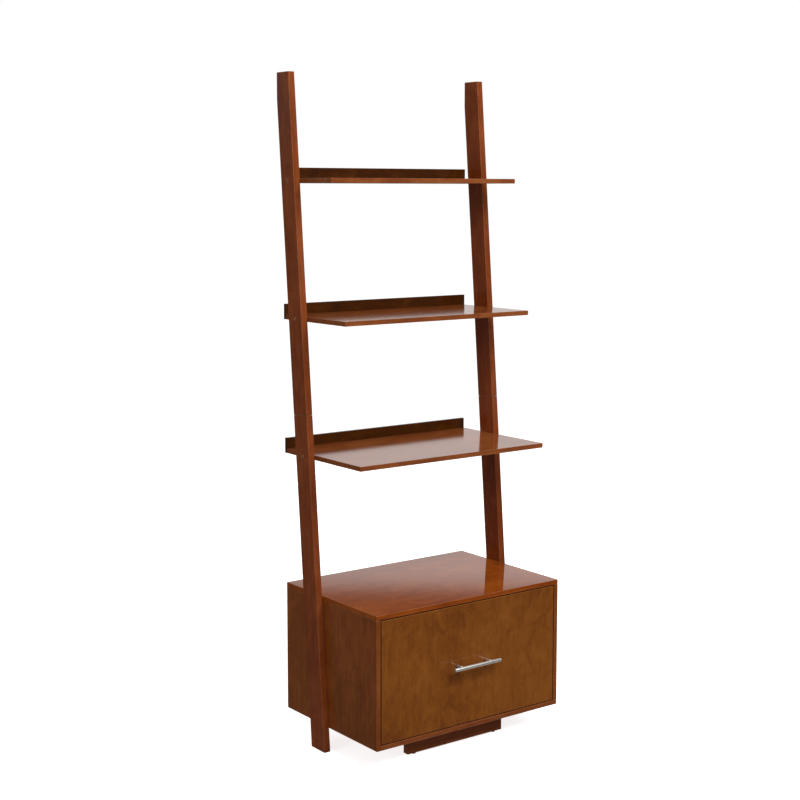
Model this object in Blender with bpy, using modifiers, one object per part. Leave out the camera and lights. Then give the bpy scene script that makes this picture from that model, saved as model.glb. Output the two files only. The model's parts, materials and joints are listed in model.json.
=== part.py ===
"""Ladder shelf: two leaning posts, three shelves with back rails, and a cabinet with a file drawer.

Run it with blender --background --python part.py, or from Blender's text editor.
Units are metres and +Z is up. The front faces -Y and the wall stands at the +Y side. The origin
is on the floor, in the middle of the object's width and of its depth with the pull.
"""

import math

import bmesh
import bpy
from mathutils import Matrix, Vector

# ---- Driving sizes: the whole object ---------------------------------------------

SHELF_SPAN = 0.617  # clear width between the posts
CABINET_REACH = 0.4255  # wall to the cabinet's front
CABINET_BOTTOM = 0.063
CABINET_TOP = 0.418
SHELF_RISES = {"lower": 0.372, "middle": 0.364, "upper": 0.363}  # each one up from what is below it
SHELF_REACHES = {"lower": 0.357, "middle": 0.2915, "upper": 0.2305}  # wall to the front edge
POST_ABOVE_SHELVES = 0.277  # the upper shelf's top face to the posts' tops

# ---- Driving sizes: fits and edges -----------------------------------------------

GAP = 0.0003  # between two pieces that touch
HOLE_CLEARANCE = 0.0003  # between a fastener and its hole, on the radius
EDGE = 0.0008  # the chamfer on a sawn edge
ROUND_STEPS = 20
FINE_STEPS = 32

# ---- Driving sizes: posts ----------------------------------------------------------

POST_THICKNESS = 0.019
POST_WIDTH = 0.0622  # square to the post's length
POST_FOOT_REACH = 0.214  # wall to the foot's front edge
POST_WALL_CLEARANCE = 0.005  # wall to the upright cut at the top
POST_WALL_CUT = 0.070  # height of that cut
POST_JOINT_RISE = 0.104  # the lower shelf's top face to the joint between a post's two lengths
POST_JOINT_GAP = 0.0005
STUD_RADIUS = 0.004
STUD_DEPTH = 0.040  # of the stud in each length

# ---- Driving sizes: shelves ----------------------------------------------------------

BOARD = 0.0127
RAIL_THICKNESS = 0.010
RAIL_RISE = 0.029  # above the shelf's top face
BOLT_RADIUS = 0.003
BOLT_HEAD_RADIUS = 0.0072
BOLT_HEAD_THICKNESS = 0.0018
BOLT_HEAD_CROWN = 0.0007  # the sloping edge of the head
BOLT_SHELF_DEPTH = 0.036  # of the bolt in the shelf's end
SOCKET_RADIUS = 0.0023  # of the hexagon, to its corners
SOCKET_DEPTH = 0.0012
NUT_RADIUS = 0.005
NUT_INSET = 0.028  # shelf's end to the barrel nut's axis
NUT_SKIN = 0.0014  # board left above the barrel nut

# ---- Driving sizes: cabinet ----------------------------------------------------------

CABINET_WALL_CLEARANCE = 0.003
BACK_THICKNESS = 0.005
CABINET_BOLT_DROP = 0.060  # cabinet's top to its upper bolts
CABINET_BOLT_RISE = 0.045  # cabinet's underside to its lower bolts
CABINET_BOLT_DEPTH = 0.013  # of the bolt in the post

FOOT_LENGTH = 0.324
FOOT_THICKNESS = 0.019
FOOT_SETBACK = 0.064  # cabinet's front to the foot board's
FOOT_SCREW_INSET = 0.060
SCREW_RADIUS = 0.002
SCREW_HEAD_RADIUS = 0.004
SCREW_HEAD_THICKNESS = 0.0022
SCREW_HEAD_CROWN = 0.0009
SCREW_RECESS_RADIUS = 0.001  # of the square driver's recess, to its corners
SCREW_RECESS_DEPTH = 0.0011
SCREW_DEPTH = 0.025  # of the screw in the foot board
GLIDE_RADIUS = 0.0075
GLIDE_THICKNESS = 0.003
GLIDE_INSET = 0.025  # foot board's end to the glide's axis
GLIDE_NAIL_RADIUS = 0.0015
GLIDE_NAIL_DEPTH = 0.010

# ---- Driving sizes: drawer -----------------------------------------------------------

REVEAL = 0.003  # the dark line around the drawer's front
FRONT_THICKNESS = 0.016
BOX_THICKNESS = 0.012
BOX_LIFT = 0.020  # cabinet's floor to the drawer box
BOX_HEADROOM = 0.040  # drawer box to the cabinet's top, for the tabs of the files
BOX_REAR_CLEARANCE = 0.022  # drawer box to the cabinet's back
BOX_BOTTOM_THICKNESS = 0.005
BOX_BOTTOM_LIFT = 0.008  # box's lower edge to its bottom panel
GROOVE_DEPTH = 0.006
FILE_BAR_THICKNESS = 0.003
FILE_BAR_HEIGHT = 0.014
FILE_BAR_INSET = 0.0175  # inner face of the box to the bar
FILE_BAR_SEAT = 0.008  # of the bar in each side's notch

SLIDE_WIDTH = 0.0127  # cabinet side to drawer box
SLIDE_HEIGHT = 0.045
SLIDE_SHEET = 0.0012
SLIDE_LIP = 0.0022  # how far a member's edges turn in
SLIDE_PLAY = 0.0006  # between two members that run in each other
SLIDE_MIDDLE_CLEARANCE = 0.0018  # middle member's edge to the drawer box
SLIDE_CABINET_CLEARANCE = 0.0048  # cabinet member's edge to the drawer box
SLIDE_RISE = 0.100  # drawer box's lower edge to the slide's centre line
SLIDE_REAR_CLEARANCE = 0.046  # slide to the cabinet's back

# ---- Driving sizes: pull -------------------------------------------------------------

PULL_LENGTH = 0.156
PULL_CENTRES = 0.096
PULL_PROJECTION = 0.034  # drawer front to the bar's outer side
PULL_RADIUS = 0.005
PULL_POST_RADIUS = 0.004
PULL_SCREW_DEPTH = 0.012  # of the screw in a pull post

# ---- Places worked out from the driving sizes ------------------------------------------

WALL = (CABINET_REACH + PULL_PROJECTION) / 2
FRONT = WALL - CABINET_REACH
HALF_SPAN = SHELF_SPAN / 2
POST_HEIGHT = CABINET_TOP + sum(SHELF_RISES.values()) + POST_ABOVE_SHELVES
POST_JOINT_HEIGHT = CABINET_TOP + SHELF_RISES["lower"] + POST_JOINT_RISE

INNER_HALF = HALF_SPAN - GAP - BOARD  # cabinet's middle to a side's inner face
CABINET_BACK = WALL - CABINET_WALL_CLEARANCE
INNER_BACK = CABINET_BACK - BACK_THICKNESS
INNER_FLOOR = CABINET_BOTTOM + BOARD
INNER_TOP = CABINET_TOP - BOARD

FRONT_BACK = FRONT + FRONT_THICKNESS
BOX_HALF = INNER_HALF - SLIDE_WIDTH
BOX_INNER_HALF = BOX_HALF - BOX_THICKNESS
BOX_FRONT = FRONT_BACK + GAP
BOX_BACK = INNER_BACK - BOX_REAR_CLEARANCE
BOX_LOW = INNER_FLOOR + BOX_LIFT
BOX_HIGH = INNER_TOP - BOX_HEADROOM
SLIDE_FRONT = FRONT_BACK + GAP
SLIDE_BACK = INNER_BACK - SLIDE_REAR_CLEARANCE
SLIDE_Z = BOX_LOW + SLIDE_RISE
PULL_Y = FRONT - PULL_PROJECTION + PULL_RADIUS
PULL_Z = (INNER_FLOOR + INNER_TOP) / 2

SIDES = {"left": -1, "right": 1}


def post_lean():
    """The lean that brings a post's rear edge to the start of its upright cut.

    From the foot's front edge that point is back = reach - clearance away and rise up. The post's
    width seen from there gives back * cos(lean) - rise * sin(lean) = width.
    """
    back = POST_FOOT_REACH - POST_WALL_CLEARANCE
    rise = POST_HEIGHT - POST_WALL_CUT
    return math.acos(POST_WIDTH / math.hypot(back, rise)) - math.atan2(rise, back)


LEAN = post_lean()
POST_SLOPE = math.tan(LEAN)
POST_SLICE = POST_WIDTH / math.cos(LEAN)  # the post's width along the floor


def shelf_tops():
    """Each shelf's name and the height of its top face."""
    height = CABINET_TOP
    tops = {}
    for name, rise in SHELF_RISES.items():
        height += rise
        tops[name] = height
    return tops


def post_front(z):
    """The post's front edge at this height."""
    return WALL - POST_FOOT_REACH + POST_SLOPE * z


def post_centre(z):
    """The post's centre line at this height."""
    return post_front(z) + POST_SLICE / 2


# ---- Scene and materials -----------------------------------------------------------------


def clear_scene():
    for obj in list(bpy.data.objects):
        bpy.data.objects.remove(obj)


def new_collection(name):
    made = bpy.data.collections.new(name)
    bpy.context.scene.collection.children.link(made)
    return made


def new_material(name, colour, roughness, metallic=0.0):
    made = bpy.data.materials.new(name)
    made.use_nodes = True
    shader = made.node_tree.nodes["Principled BSDF"]
    shader.inputs["Base Color"].default_value = (*colour, 1.0)
    shader.inputs["Roughness"].default_value = roughness
    shader.inputs["Metallic"].default_value = metallic
    made.diffuse_color = (*colour, 1.0)
    return made


clear_scene()
PARTS = new_collection("ladder_shelf")
CUTTERS = new_collection("cutters")
CHERRY = new_material("cherry_stain", (0.18, 0.045, 0.012), 0.35)
BIRCH = new_material("birch_plywood", (0.55, 0.38, 0.22), 0.5)
HARDBOARD = new_material("brown_hardboard", (0.13, 0.05, 0.02), 0.6)
ZINC = new_material("zinc_plated_steel", (0.55, 0.56, 0.58), 0.35, 1.0)
BRONZE = new_material("bronzed_steel", (0.16, 0.10, 0.06), 0.4, 1.0)
SATIN = new_material("satin_steel", (0.62, 0.61, 0.58), 0.3, 1.0)
PLASTIC = new_material("black_plastic", (0.02, 0.02, 0.02), 0.5)


# ---- Building blocks -----------------------------------------------------------------------


def add_object(name, mesh, collection=None, material=None):
    made = bpy.data.objects.new(name, mesh)
    (collection or PARTS).objects.link(made)
    if material:
        mesh.materials.append(material)
    return made


def mesh_from(name, shape):
    mesh = bpy.data.meshes.new(name)
    shape.to_mesh(mesh)
    shape.free()
    return mesh


def chamfer(obj, width=EDGE):
    bevel = obj.modifiers.new("chamfer", "BEVEL")
    bevel.width = width
    bevel.segments = 1
    bevel.limit_method = "ANGLE"
    return obj


def box(name, low, high, material, edge=EDGE):
    """A board or a bar between two corners, with chamfered edges."""
    low, high = Vector(low), Vector(high)
    shape = bmesh.new()
    bmesh.ops.create_cube(shape, size=1.0)
    bmesh.ops.scale(shape, vec=high - low, verts=shape.verts)
    made = add_object(name, mesh_from(name, shape), material=material)
    made.location = (low + high) / 2
    if edge:
        chamfer(made, edge)
    return made


def cylinder_mesh(name, radius, length, steps=ROUND_STEPS):
    shape = bmesh.new()
    bmesh.ops.create_cone(
        shape, cap_ends=True, segments=steps, radius1=radius, radius2=radius, depth=length
    )
    return mesh_from(name, shape)


def turn_to(direction):
    """The rotation that takes local +Z to this direction."""
    return Vector(direction).to_track_quat("Z", "Y")


def lay_between(obj, start, end):
    start, end = Vector(start), Vector(end)
    obj.rotation_mode = "QUATERNION"
    obj.rotation_quaternion = turn_to(end - start)
    obj.location = (start + end) / 2
    return obj


def rod(name, start, end, radius, material, steps=ROUND_STEPS):
    length = (Vector(end) - Vector(start)).length
    made = add_object(name, cylinder_mesh(name, radius, length, steps), material=material)
    return lay_between(made, start, end)


def hide_cutter(cutter):
    cutter.hide_render = True
    cutter.display_type = "WIRE"


def cut(target, cutter):
    """Takes the cutter's shape out of the target."""
    hide_cutter(cutter)
    boolean = target.modifiers.new(cutter.name, "BOOLEAN")
    boolean.operation = "DIFFERENCE"
    boolean.solver = "EXACT"
    boolean.object = cutter


def drill(target, start, end, radius, steps=ROUND_STEPS):
    """A round hole, or a hexagonal one with six steps."""
    name = f"{target.name}_hole"
    length = (Vector(end) - Vector(start)).length
    cutter = add_object(name, cylinder_mesh(name, radius, length, steps), CUTTERS)
    cut(target, lay_between(cutter, start, end))


def rout(target, low, high):
    """A square-edged slot or notch between two corners."""
    cutter = box(f"{target.name}_slot", low, high, None, edge=0)
    PARTS.objects.unlink(cutter)
    CUTTERS.objects.link(cutter)
    cut(target, cutter)


def extruded(name, outline, thickness, place, material):
    """A flat outline in local XY, given its thickness along local Z and put where place says."""
    curve = bpy.data.curves.new(name, "CURVE")
    curve.dimensions = "2D"
    curve.fill_mode = "BOTH"
    curve.extrude = thickness / 2
    spline = curve.splines.new("POLY")
    spline.points.add(len(outline) - 1)
    for point, (x, y) in zip(spline.points, outline):
        point.co = (x, y, 0, 1)
    spline.use_cyclic_u = True
    drawn = bpy.data.objects.new(name, curve)
    PARTS.objects.link(drawn)
    drawn.matrix_world = place
    bpy.context.view_layer.update()
    graph = bpy.context.evaluated_depsgraph_get()
    mesh = bpy.data.meshes.new_from_object(drawn.evaluated_get(graph))
    bpy.data.objects.remove(drawn)
    shape = bmesh.new()
    shape.from_mesh(mesh)
    bmesh.ops.remove_doubles(shape, verts=shape.verts, dist=0.00001)
    bmesh.ops.recalc_face_normals(shape, faces=shape.faces)
    shape.to_mesh(mesh)
    shape.free()
    mesh.name = name
    mesh.materials.clear()
    made = add_object(name, mesh, material=material)
    made.matrix_world = place
    return made


def facing_x(x):
    """Puts an outline drawn as (Y, Z) across the X axis at x."""
    return Matrix.Translation((x, 0, 0)) @ Matrix.Rotation(math.pi / 2, 4, "Z") @ Matrix.Rotation(
        math.pi / 2, 4, "X"
    )


def facing_y(y):
    """Puts an outline drawn as (X, Z) across the Y axis at y."""
    return Matrix.Translation((0, y, 0)) @ Matrix.Rotation(math.pi / 2, 4, "X")


def turned(name, profile, base, direction, material, steps=ROUND_STEPS):
    """A round piece: profile lists (radius, height) from its top down to its bottom."""
    mesh = bpy.data.meshes.new(name)
    points = [(radius, 0, height) for radius, height in profile]
    mesh.from_pydata(points, [(i, i + 1) for i in range(len(points) - 1)], [])
    made = add_object(name, mesh, material=material)
    screw = made.modifiers.new("turn", "SCREW")
    screw.steps = steps
    screw.render_steps = steps
    screw.use_merge_vertices = True
    screw.merge_threshold = 0.00001
    made.rotation_mode = "QUATERNION"
    made.rotation_quaternion = turn_to(direction)
    made.location = base
    return made


def flat_head_bolt(name, seat, outwards, length, material):
    """A wide flat head on the seat, a shank going in behind it, and a hexagonal socket."""
    seat, outwards = Vector(seat), Vector(outwards)
    head = BOLT_HEAD_THICKNESS + GAP
    profile = [
        (0, head),
        (BOLT_HEAD_RADIUS - BOLT_HEAD_CROWN, head),
        (BOLT_HEAD_RADIUS, head - BOLT_HEAD_CROWN),
        (BOLT_HEAD_RADIUS, GAP),
        (BOLT_RADIUS, GAP),
        (BOLT_RADIUS, -length),
        (0, -length),
    ]
    bolt = turned(name, profile, seat, outwards, material)
    bottom = seat + outwards * (head - SOCKET_DEPTH)
    drill(bolt, bottom, bottom + outwards * 2 * SOCKET_DEPTH, SOCKET_RADIUS, steps=6)
    return bolt


# ---- Posts -------------------------------------------------------------------------------------


def post_line(along, across):
    """A point (Y, Z) this far up the post from its joint, and this far in front of its centre line."""
    y = post_centre(POST_JOINT_HEIGHT) + along * math.sin(LEAN) - across * math.cos(LEAN)
    z = POST_JOINT_HEIGHT + along * math.cos(LEAN) + across * math.sin(LEAN)
    return y, z


def post_outlines():
    """The side views (Y, Z) of a post's lower and upper lengths."""
    half, gap = POST_WIDTH / 2, POST_JOINT_GAP / 2
    foot = [(post_front(0), 0), (post_front(0) + POST_SLICE, 0)]
    lower = [*foot, post_line(-gap, -half), post_line(-gap, half)]
    wall_cut = WALL - POST_WALL_CLEARANCE
    upper = [
        post_line(gap, half),
        post_line(gap, -half),
        (wall_cut, POST_HEIGHT - POST_WALL_CUT),
        (wall_cut, POST_HEIGHT),
        (post_front(POST_HEIGHT), POST_HEIGHT),
    ]
    return lower, upper


def cabinet_bolt_places(side):
    """Each level's name, and where its bolt crosses the inner face of the cabinet's side."""
    heights = {
        "upper": CABINET_TOP - CABINET_BOLT_DROP,
        "lower": CABINET_BOTTOM + CABINET_BOLT_RISE,
    }
    for level, z in heights.items():
        yield level, Vector((side * INNER_HALF, post_centre(z), z))


def shelf_bolt_places(side):
    """Each shelf's name, and where its bolt crosses the post's outer face."""
    for name, top in shelf_tops().items():
        z = top - BOARD / 2
        yield name, Vector((side * (HALF_SPAN + POST_THICKNESS), post_centre(z), z))


def build_post(side_name, side):
    outwards = Vector((side, 0, 0))
    x = side * (HALF_SPAN + POST_THICKNESS / 2)
    lengths = {}
    for part, outline in zip(("lower", "upper"), post_outlines()):
        name = f"post_{part}_{side_name}"
        lengths[part] = chamfer(extruded(name, outline, POST_THICKNESS, facing_x(x), CHERRY))

    depth = STUD_DEPTH + GAP
    start = Vector((x, *post_line(-depth, 0)))
    end = Vector((x, *post_line(depth, 0)))
    for length in lengths.values():
        drill(length, start, end, STUD_RADIUS + HOLE_CLEARANCE)
    start = (x, *post_line(-STUD_DEPTH, 0))
    end = (x, *post_line(STUD_DEPTH, 0))
    rod(f"post_stud_{side_name}", start, end, STUD_RADIUS, ZINC)

    through = outwards * (POST_THICKNESS + 2 * EDGE)
    for _, place in shelf_bolt_places(side):
        part = "upper" if place.z > POST_JOINT_HEIGHT else "lower"
        outside = place + outwards * EDGE
        drill(lengths[part], outside, outside - through, BOLT_RADIUS + HOLE_CLEARANCE)
    reach = outwards * (BOARD + GAP + CABINET_BOLT_DEPTH + GAP)
    for _, place in cabinet_bolt_places(side):
        drill(lengths["lower"], place, place + reach, BOLT_RADIUS + HOLE_CLEARANCE)


# ---- Shelves ------------------------------------------------------------------------------------


def build_shelf(name, top):
    half = HALF_SPAN - GAP
    rail_front = WALL - RAIL_THICKNESS
    board_low = (-half, WALL - SHELF_REACHES[name], top - BOARD)
    board = box(f"shelf_{name}", board_low, (half, rail_front - GAP, top), CHERRY)
    rail_low = (-half, rail_front, top - BOARD)
    box(f"back_rail_{name}", rail_low, (half, WALL, top + RAIL_RISE), CHERRY)
    for side_name, side in SIDES.items():
        build_shelf_bolt(name, top, board, side_name, side)


def build_shelf_bolt(name, top, board, side_name, side):
    """The bolt through the post into the shelf's end, and the barrel nut that it screws into."""
    outwards = Vector((side, 0, 0))
    seat = dict(shelf_bolt_places(side))[name]
    length = POST_THICKNESS + GAP + BOLT_SHELF_DEPTH
    flat_head_bolt(f"shelf_bolt_{name}_{side_name}", seat, outwards, length, BRONZE)

    end = Vector((side * HALF_SPAN, seat.y, seat.z))
    bottom = end - outwards * (BOLT_SHELF_DEPTH + GAP)
    drill(board, end + outwards * EDGE, bottom, BOLT_RADIUS + HOLE_CLEARANCE)

    axis = end - outwards * NUT_INSET
    high = top - NUT_SKIN - GAP
    low = top - BOARD + GAP
    nut = rod(
        f"barrel_nut_{name}_{side_name}",
        (axis.x, axis.y, low),
        (axis.x, axis.y, high),
        NUT_RADIUS,
        ZINC,
    )
    reach = outwards * (NUT_RADIUS + EDGE)
    drill(nut, axis - reach, axis + reach, BOLT_RADIUS + HOLE_CLEARANCE)
    drill(
        board,
        (axis.x, axis.y, low - EDGE),
        (axis.x, axis.y, high + GAP),
        NUT_RADIUS + HOLE_CLEARANCE,
    )


# ---- Cabinet ------------------------------------------------------------------------------------


def build_cabinet():
    half = HALF_SPAN - GAP
    box("cabinet_top", (-half, FRONT, INNER_TOP), (half, CABINET_BACK, CABINET_TOP), CHERRY)
    floor = box(
        "cabinet_floor",
        (-INNER_HALF + GAP, FRONT, CABINET_BOTTOM),
        (INNER_HALF - GAP, CABINET_BACK, INNER_FLOOR),
        CHERRY,
    )
    box(
        "cabinet_back",
        (-INNER_HALF + GAP, INNER_BACK, INNER_FLOOR + GAP),
        (INNER_HALF - GAP, CABINET_BACK, INNER_TOP - GAP),
        HARDBOARD,
    )
    for side_name, side in SIDES.items():
        build_cabinet_side(side_name, side, half)
    build_foot(floor)


def build_cabinet_side(side_name, side, half):
    low_x, high_x = sorted((side * INNER_HALF, side * half))
    panel = box(
        f"cabinet_side_{side_name}",
        (low_x, FRONT, CABINET_BOTTOM),
        (high_x, CABINET_BACK, INNER_TOP - GAP),
        CHERRY,
    )
    outwards = Vector((side, 0, 0))
    length = BOARD + GAP + CABINET_BOLT_DEPTH
    for level, place in cabinet_bolt_places(side):
        inside = place - outwards * EDGE
        beyond = place + outwards * (BOARD + EDGE)
        drill(panel, inside, beyond, BOLT_RADIUS + HOLE_CLEARANCE)
        flat_head_bolt(f"cabinet_bolt_{level}_{side_name}", place, -outwards, length, ZINC)


def build_foot(floor):
    """The board under the cabinet's front, its two screws from above, and its glides."""
    y = FRONT + FOOT_SETBACK
    middle = y + FOOT_THICKNESS / 2
    half = FOOT_LENGTH / 2
    low = (-half, y, GLIDE_THICKNESS + GAP)
    high = (half, y + FOOT_THICKNESS, CABINET_BOTTOM - GAP)
    foot = box("foot_board", low, high, CHERRY)
    for side_name, side in SIDES.items():
        build_foot_screw(side_name, Vector((side * (half - FOOT_SCREW_INSET), middle, 0)), floor, foot)
        build_glide(side_name, Vector((side * (half - GLIDE_INSET), middle, 0)), foot)


def build_foot_screw(side_name, place, floor, foot):
    """A countersunk screw, flush with the cabinet's floor."""
    top = INNER_FLOOR - GAP
    place.z = top
    length = BOARD + SCREW_DEPTH
    profile = [
        (0, 0),
        (SCREW_HEAD_RADIUS, 0),
        (SCREW_RADIUS, -SCREW_HEAD_THICKNESS),
        (SCREW_RADIUS, -length + SCREW_RADIUS),
        (0, -length),
    ]
    screw = turned(f"foot_screw_{side_name}", profile, place, (0, 0, 1), ZINC)
    recess = Vector((0, 0, SCREW_RECESS_DEPTH))
    drill(screw, place - recess, place + recess, SCREW_RECESS_RADIUS, steps=4)
    down = Vector((0, 0, -1))
    above = place - down * 2 * EDGE
    drill(floor, above, place + down * (BOARD + EDGE), SCREW_RADIUS + HOLE_CLEARANCE)
    sink = turned(
        f"{floor.name}_sink_{side_name}",
        [
            (0, 2 * GAP),
            (SCREW_HEAD_RADIUS + 2 * GAP, 2 * GAP),
            (SCREW_RADIUS + 2 * GAP, -SCREW_HEAD_THICKNESS),
            (0, -SCREW_HEAD_THICKNESS),
        ],
        place,
        (0, 0, 1),
        None,
    )
    PARTS.objects.unlink(sink)
    CUTTERS.objects.link(sink)
    cut(floor, sink)
    foot_top = Vector((place.x, place.y, CABINET_BOTTOM))
    drill(foot, foot_top, place + down * (length + GAP), SCREW_RADIUS + HOLE_CLEARANCE)


def build_glide(side_name, place, foot):
    nail_top = GLIDE_THICKNESS + GLIDE_NAIL_DEPTH
    profile = [
        (0, nail_top),
        (GLIDE_NAIL_RADIUS, nail_top),
        (GLIDE_NAIL_RADIUS, GLIDE_THICKNESS),
        (GLIDE_RADIUS, GLIDE_THICKNESS),
        (GLIDE_RADIUS, GLIDE_THICKNESS / 3),
        (GLIDE_RADIUS - GLIDE_THICKNESS / 3, 0),
        (0, 0),
    ]
    turned(f"glide_{side_name}", profile, place, (0, 0, 1), PLASTIC)
    start = place.copy()
    end = place + Vector((0, 0, nail_top + GAP))
    drill(foot, start, end, GLIDE_NAIL_RADIUS + HOLE_CLEARANCE)


# ---- Drawer slides --------------------------------------------------------------------------------


def channel(web, flange_end, half_height, lip):
    """A channel's section (across, Z). Its web stands at web, and its flanges run to flange_end.

    The flanges' ends turn in by lip, so the channel holds the one that runs inside it.
    """
    way = 1 if flange_end > web else -1
    inner_web = web + way * SLIDE_SHEET
    lip_start = flange_end - way * SLIDE_SHEET
    inner = half_height - SLIDE_SHEET
    upper = [
        (web, half_height),
        (flange_end, half_height),
        (flange_end, inner - lip),
        (lip_start, inner - lip),
        (lip_start, inner),
        (inner_web, inner),
    ]
    if lip == 0:
        upper = [upper[0], upper[1], (flange_end, inner), (inner_web, inner)]
    return upper + [(across, -z) for across, z in reversed(upper)]


def slide_sections():
    """The sections of the three members, with distance measured in from the cabinet's side."""
    play = SLIDE_PLAY
    outer_half = SLIDE_HEIGHT / 2
    outer_web = GAP
    outer_end = SLIDE_WIDTH - SLIDE_CABINET_CLEARANCE
    middle_half = outer_half - SLIDE_SHEET - SLIDE_LIP - play
    middle_web = outer_web + SLIDE_SHEET + play
    middle_end = SLIDE_WIDTH - SLIDE_MIDDLE_CLEARANCE
    inner_half = middle_half - SLIDE_SHEET - SLIDE_LIP - play
    inner_web = SLIDE_WIDTH - GAP
    inner_end = middle_web + SLIDE_SHEET + play
    return {
        "cabinet": channel(outer_web, outer_end, outer_half, SLIDE_LIP),
        "middle": channel(middle_web, middle_end, middle_half, SLIDE_LIP),
        "drawer": channel(inner_web, inner_end, inner_half, 0),
    }


def build_slide(side_name, side):
    length = SLIDE_BACK - SLIDE_FRONT
    place = facing_y((SLIDE_FRONT + SLIDE_BACK) / 2)
    for member, section in slide_sections().items():
        outline = [(side * (INNER_HALF - across), z + SLIDE_Z) for across, z in section]
        extruded(f"slide_{member}_{side_name}", outline, length, place, ZINC)


# ---- Drawer ------------------------------------------------------------------------------------------


def build_drawer():
    front = box(
        "drawer_front",
        (-INNER_HALF + REVEAL, FRONT, INNER_FLOOR + REVEAL),
        (INNER_HALF - REVEAL, FRONT_BACK, INNER_TOP - REVEAL),
        CHERRY,
    )
    low, high = BOX_LOW, BOX_HIGH
    inner = BOX_INNER_HALF - GAP
    box_inner_front = BOX_FRONT + BOX_THICKNESS
    box_inner_back = BOX_BACK - BOX_THICKNESS
    walls = [
        box("drawer_box_front", (-inner, BOX_FRONT, low), (inner, box_inner_front, high), BIRCH),
        box("drawer_box_back", (-inner, box_inner_back, low), (inner, BOX_BACK, high), BIRCH),
    ]
    sides = []
    for side_name, side in SIDES.items():
        low_x, high_x = sorted((side * BOX_INNER_HALF, side * BOX_HALF))
        name = f"drawer_box_side_{side_name}"
        sides.append(box(name, (low_x, BOX_FRONT, low), (high_x, BOX_BACK, high), BIRCH))

    build_box_bottom(walls, sides, box_inner_front, box_inner_back)
    build_file_bars(sides, box_inner_front, box_inner_back)
    build_pull(front, walls[0])


def build_box_bottom(walls, sides, inner_front, inner_back):
    """The bottom panel, let into a groove in each wall of the box."""
    depth = GROOVE_DEPTH
    panel_low = Vector(
        (-BOX_INNER_HALF - depth, inner_front - depth, BOX_LOW + BOX_BOTTOM_LIFT)
    )
    panel_high = Vector(
        (BOX_INNER_HALF + depth, inner_back + depth, panel_low.z + BOX_BOTTOM_THICKNESS)
    )
    box("drawer_box_bottom", panel_low, panel_high, BIRCH, edge=0)
    clearance = Vector((GAP, GAP, GAP))
    for wall in walls + sides:
        rout(wall, panel_low - clearance, panel_high + clearance)


def build_file_bars(sides, inner_front, inner_back):
    """The two flat bars that hanging files hook over, dropped into notches in the box's sides."""
    half = BOX_INNER_HALF + FILE_BAR_SEAT
    starts = {
        "front": inner_front + FILE_BAR_INSET,
        "back": inner_back - FILE_BAR_INSET - FILE_BAR_THICKNESS,
    }
    for name, y in starts.items():
        low = Vector((-half, y, BOX_HIGH - FILE_BAR_HEIGHT))
        high = Vector((half, y + FILE_BAR_THICKNESS, BOX_HIGH))
        box(f"file_bar_{name}", low, high, ZINC, edge=0)
        clearance = Vector((GAP, GAP, GAP))
        above = Vector((0, 0, 2 * EDGE))
        for side in sides:
            rout(side, low - clearance, high + clearance + above)


def build_pull(front, box_front):
    """The round bar, its two posts, and the screws that hold them from inside the drawer."""
    half = PULL_LENGTH / 2
    ends = (-half, PULL_Y, PULL_Z), (half, PULL_Y, PULL_Z)
    chamfer(rod("pull_bar", *ends, PULL_RADIUS, SATIN, steps=FINE_STEPS))
    screw_head = BOX_FRONT + BOX_THICKNESS
    for side_name, side in SIDES.items():
        x = side * PULL_CENTRES / 2
        post = rod(
            f"pull_post_{side_name}",
            (x, PULL_Y, PULL_Z),
            (x, FRONT - GAP, PULL_Z),
            PULL_POST_RADIUS,
            SATIN,
        )
        drill(
            post,
            (x - PULL_POST_RADIUS - EDGE, PULL_Y, PULL_Z),
            (x + PULL_POST_RADIUS + EDGE, PULL_Y, PULL_Z),
            PULL_RADIUS + GAP,
        )
        tip = FRONT - PULL_SCREW_DEPTH
        hole_end = tip - GAP
        for target in (post, front, box_front):
            drill(
                target,
                (x, hole_end, PULL_Z),
                (x, screw_head + EDGE, PULL_Z),
                SCREW_RADIUS + HOLE_CLEARANCE,
            )
        length = screw_head - tip
        profile = [
            (0, SCREW_HEAD_THICKNESS),
            (SCREW_HEAD_RADIUS - SCREW_HEAD_CROWN, SCREW_HEAD_THICKNESS),
            (SCREW_HEAD_RADIUS, SCREW_HEAD_THICKNESS - SCREW_HEAD_CROWN),
            (SCREW_HEAD_RADIUS, GAP),
            (SCREW_RADIUS, GAP),
            (SCREW_RADIUS, -length),
            (0, -length),
        ]
        screw = turned(f"pull_screw_{side_name}", profile, (x, screw_head, PULL_Z), (0, 1, 0), ZINC)
        top = screw_head + SCREW_HEAD_THICKNESS
        drill(
            screw,
            (x, top - SCREW_RECESS_DEPTH, PULL_Z),
            (x, top + SCREW_RECESS_DEPTH, PULL_Z),
            SCREW_RECESS_RADIUS,
            steps=4,
        )


# ---- The object ------------------------------------------------------------------------------------------

for shelf_name, shelf_top in shelf_tops().items():
    build_shelf(shelf_name, shelf_top)
build_cabinet()
build_drawer()
for post_name, post_side in SIDES.items():
    build_post(post_name, post_side)
    build_slide(post_name, post_side)
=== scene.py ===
# %% [markdown]
# # A leaning ladder shelf with a file drawer
#
# The real piece is flat-pack furniture in stained and lacquered wood. Two posts lean on the wall,
# three shelves hang between them, and a cabinet with one deep drawer stands at the bottom. The
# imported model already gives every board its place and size. The script reads it as a fixed frame,
# makes each visible piece again with the soft arrises, turned metal and finishes of the real one,
# and lets it ride on the frame's bodies so that the drawer still opens.

# %% Load the fixed frame
import json
import math

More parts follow.
